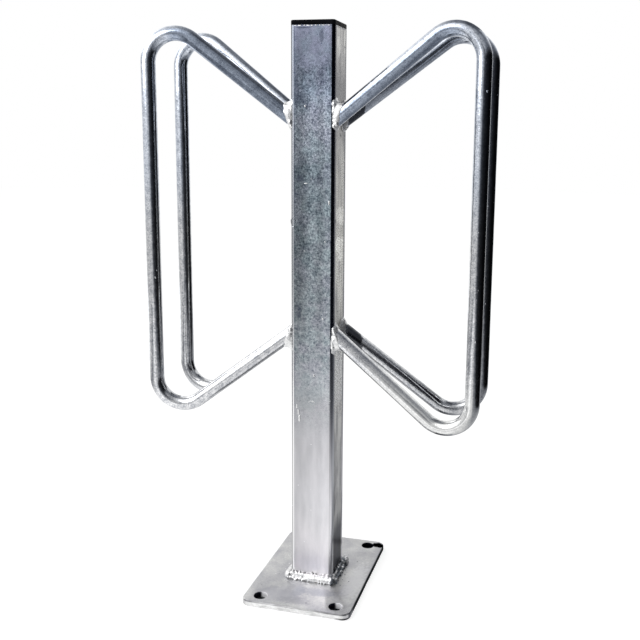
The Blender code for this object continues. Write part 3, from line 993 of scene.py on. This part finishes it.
def build_edge_lump():
    """An uneven ring of zinc over the post's front left edge."""
    lump = bmesh.new()
    for turn in turns(22):
        x = -26.4 + 2.9 * cos(turn)
        place = on_front(x, 518.8 + 6 * sin(turn), corner_depth(-x * MM) + 0.1 * MM)
        size = 0.85 + 0.45 * sin(3 * turn)
        add_bead(lump, place, FORWARD, size, size * 1.3, 0.8)
    add_piece("edge_lump", lump, "galvanised_post")


def build_bar_drops(draw):
    vary, bars = draw.uniform, bmesh.new()
    for place, normal, size in BAR_DROPS:
        add_bead(bars, Vector(place), Vector(normal).normalized(), size, size * 1.2, size * 0.6)
    line = hoop_centreline()
    for side, end in HOOPS:
        hoop, _, _ = hoop_frame(side, end)
        for drop in range(10):
            at = draw.randrange(10, len(line) - 10)
            tangent = (line[at + 1] - line[at - 1]).normalized()
            lean = Matrix.Rotation(draw.choice((-1, 1)) * vary(0, 0.9), 3, tangent)
            away = (lean @ ACROSS).normalized() * draw.choice((-1, 1))
            place = hoop @ (line[at] + away * (BAR_RADIUS - 0.15 * MM))
            size = vary(0.5, 0.9)
            add_bead(bars, place, hoop.to_3x3() @ away, size, size * 1.3, size * 0.6)
    add_piece("bar_drops", bars, "galvanised_bar")


def build_spatter(draw):
    """Grains of weld metal on the plate, round the foot of the post."""
    vary, spatter = draw.uniform, bmesh.new()
    for drop in range(46):
        spin = quarter_turn(draw.randrange(4))
        out = vary(10.5, 15 if drop % 2 else 24)
        place = spin @ Vector((vary(-38, 38) * MM, -POST_HALF - out * MM, PLATE_TOP - 0.1 * MM))
        size = vary(0.35, 0.9)
        add_bead(spatter, place, UP, size, size * vary(0.8, 1.4), size * 0.7)
    add_piece("spatter", spatter, "galvanised_weld")


# Studio. Gradings give places in millimetres, and brightness in percent of the background's white.

GLOW = 2.0
FLOOR_WHITE = 1.77
FLOOR_RADIUS = 9.0
GROUND_HOLE_RADIUS = 9.5 * MM

LEFT_WALL = ((0, 70), (300, 80), (550, 95), (750, 88), (950, 88), (1450, 110), (1750, 165), (2100, 165))
CEILING_FRONT = ((-2400, 170), (-550, 165), (-350, 155), (-100, 110), (150, 82), (400, 48), (950, 34))
CEILING_BACK = (
    (-2400, 150), (-1650, 145), (-1150, 105), (-900, 95), (-650, 65), (-400, 46), (-150, 32), (100, 28), (350, 11),
    (950, 16),
)
RIGHT_HIGH = ((-2100, 62), (-1300, 45), (-750, 34), (-250, 22), (0, 23), (500, 46), (1200, 95), (2300, 105))
RIGHT_LOW = ((-2100, 6), (-1000, 2), (0, 0.2), (600, 0.5), (1200, 2), (1700, 12), (2300, 50))
FRONT_HIGH = ((-2400, 170), (-900, 165), (-550, 145), (-300, 125), (-50, 92), (200, 62), (600, 56), (1000, 45))
FRONT_LOW = ((-2400, 80), (-900, 80), (-400, 72), (-150, 60), (100, 38), (350, 20), (600, 8), (1000, 4))
FLOOR_BACK = (
    (-3000, 170), (-1450, 150), (-1200, 80), (-950, 70), (-750, 90), (-600, 115), (-200, 95), (0, 50), (100, 42),
    (500, 42), (800, 20), (1000, 2), (1200, 1),
)
FLOOR_FRONT = (
    (-3000, 75), (-1500, 78), (-1300, 65), (-1150, 28), (-950, 38), (-750, 72), (-550, 120), (-400, 132), (-200, 112),
    (-50, 84), (80, 80), (250, 78), (450, 34), (950, 10), (1200, 4),
)
# Painted shadow on the floor beside the plate's right side, seen only in the metal
SHADOW_BESIDE_PLATE = ((77, 3), (120, 12), (200, 40))


def greys(levels):
    """Stops for a glow, a little bluer where they are dark."""
    stops = []
    for place, level in levels:
        blue, share = 1.0 + 0.25 * max(0.6 - level / 100, 0), level / GLOW
        stops.append((place, share / blue ** 0.5, share, share * blue))
    return stops


def floor_material():
    """White to the camera, matt where the stand's shadow falls, and a studio floor in the metal's reflections."""
    mat = Recipe("floor")
    camera = mat.rays["Is Camera Ray"]
    front, back = (mat.graded("X", greys(levels)) for levels in (FLOOR_FRONT, FLOOR_BACK))
    mat.colour = mat.mix(mat.span("Y", -100, 200), front, back)
    mat.paint(50, ("Y", 1200, 2400))
    mat.paint(55, mat.oval_patch("XY", (-60, -220), (300, 300), soft=0.8))
    mat.paint(100, camera)
    glow = mat.glow(mat.between(camera, 0, 1, GLOW, FLOOR_WHITE))
    matt = mat.add("BsdfDiffuse", {"Color": 90})[0]
    share = mat.math("MULTIPLY_ADD", camera, 0.4, mat.mirrored, clamp=True)
    return mat.show(mat.add("MixShader", {0: share, 1: matt, 2: glow})[0])


def card_material(name, run, first, second=None, rise=None):
    """A glow graded along one axis, which turns into a second grading along a span, or with the front's rise."""
    mat = Recipe(name)
    mat.colour = mat.graded(run, greys(first))
    if second:
        share = mat.span(*rise, kind="LINEAR") if rise else front_rise(mat)
        mat.paint(mat.graded(run, greys(second)), mat.between(share, 0, 1))
    return mat.show(mat.glow(GLOW))


def front_rise(mat):
    """The front of the studio brightens upwards, sooner at the left than behind the camera."""
    height = mat.math("SUBTRACT", mat.axes["Z"], mat.span("X", -950, -450, 0, 0.6))
    return mat.total((0.33, mat.span(height, 280, 550)), (0.67, mat.span(height, 780, 1150)))


# The studio as the metal mirrors it: softly lit at the left and in front, dark at the right, and a painted shadow on
# the floor beside the plate
CARDS = (
    # Name, two corners in metres, axis of the grading, and gradings
    ("front_card", (-2.4, -2.1, 0), (0.95, -2.1, 2.1), "X", FRONT_LOW, FRONT_HIGH),
    ("right_card", (0.95, -2.1, 0), (0.95, 2.2, 2.1), "Y", RIGHT_LOW, RIGHT_HIGH, ("Z", 920, 1300)),
    ("top_card", (-2.4, -2.1, 2.1), (0.95, 2.2, 2.1), "X", CEILING_BACK, CEILING_FRONT, ("Y", -150, -950)),
    ("left_card", (-2.4, -2.1, 0), (-2.4, 0.9, 2.1), "Z", LEFT_WALL),
    ("painted_floor_shadow", (0.0765, -0.08, 0.002), (0.2, 0.3, 0.002), "X", SHADOW_BESIDE_PLATE),
)


def add_stage(name, points, material):
    """A flat face that belongs to the studio."""
    mesh = bpy.data.meshes.new(name)
    mesh.from_pydata(points, [], [tuple(range(len(points)))])
    obj = add_object(name, mesh)
    mesh.materials.append(material)
    return obj


def add_card(name, low, high, *grading):
    """A level or upright card between two corners, which shows only as a reflection in the metal."""
    first, second = (axis for axis in range(3) if low[axis] != high[axis])
    corners = [list(low) for _ in range(4)]
    for corner, along_first, along_second in zip(corners, (low, high, high, low), (low, low, high, high)):
        corner[first], corner[second] = along_first[first], along_second[second]
    card = add_stage(name, corners, card_material(name, *grading))
    for ray in ("camera", "diffuse", "transmission", "shadow"):
        setattr(card, f"visible_{ray}", False)


def build_stage():
    add_stage("floor", circle(0, 0, FLOOR_RADIUS, 0), floor_material())
    for card in CARDS:
        add_card(*card)

    # Dark discs on the floor under the plate's holes, seen through them: drilled holes in the ground, and painted
    # shade where the plate hides the light
    dark = card_material("hole_shade_discs", "X", ((-1000, 1.2), (1000, 1.2)))
    for (side, end), (x, y) in zip(HOOPS, HOLES):
        add_stage(f"hole_shade_disc_{SIDES[side]}_{ENDS[end]}", circle(x, y, GROUND_HOLE_RADIUS, 0.0004), dark)


def build_world():
    """White where it is seen or mirrored, and a plain even light from all sides."""
    world = Recipe("studio", "worlds")
    bpy.context.scene.world = world.owner
    shown = world.math("MAXIMUM", world.rays["Is Camera Ray"], world.mirrored)
    strength = world.between(shown, 0, 1, 0.55, 1, "LINEAR")
    world.feed(world.tree.nodes["Background"], {"Color": 100, "Strength": strength})


def add_lamp(name, place, aim, size, radiance):
    """A soft area lamp whose face glows with a radiance, where 1 is as bright as the white background."""
    data = bpy.data.lights.new(name, "AREA")
    data.shape = "RECTANGLE"
    data.size, data.size_y = size
    data.energy = radiance * pi * size[0] * size[1]
    lamp = add_object(name, data)
    lamp.location = place
    lamp.rotation_euler = (Vector(aim) - Vector(place)).to_track_quat("-Z", "Y").to_euler()
    lamp.visible_camera = False


def build_lamps():
    """A large softbox in front at the left, and a weaker one behind at the left."""
    add_lamp("softbox", (-1.3, -1.3, 1.55), (0, 0, 0.6), (1.9, 1.7), 1.9)
    add_lamp("left_softbox", (-2.05, 0.85, 1.75), (0, 0, 0.55), (1.2, 1.2), 1.2)


# Camera, fitted to the photograph. Shifts are shares of the picture's width, and turns are in radians.

CAMERA_LENS = 47.8125
CAMERA_SHIFTS = (-0.067375, -0.0603125)
CAMERA_PLACE = (0.3441, -1.103, 0.6362)
CAMERA_TURNS = ((0.249, "Z"), (pi / 2 - 0.1713, "X"), (0.01278, "Z"))


def build_camera():
    data = bpy.data.cameras.new("camera")
    data.lens = CAMERA_LENS
    data.shift_x, data.shift_y = CAMERA_SHIFTS
    place = Matrix.Translation(CAMERA_PLACE)
    for angle, axis in CAMERA_TURNS:
        place = place @ Matrix.Rotation(angle, 4, axis)
    camera = add_object("camera", data)
    camera.matrix_world = place
    bpy.context.scene.camera = camera


build_plate()
build_post()
build_cap()
for side, end in HOOPS:
    build_hoop(side, end)
    for level in LEVELS:
        build_arm_seam(side, end, level)
for side in FOOT_QUARTERS:
    build_foot_seam(side)
marks = Random("marks")
build_post_drops(marks)
build_edge_lump()
build_bar_drops(marks)
build_spatter(marks)
build_stage()
build_world()
build_lamps()
build_camera()
bpy.context.scene.view_settings.view_transform = "Standard"
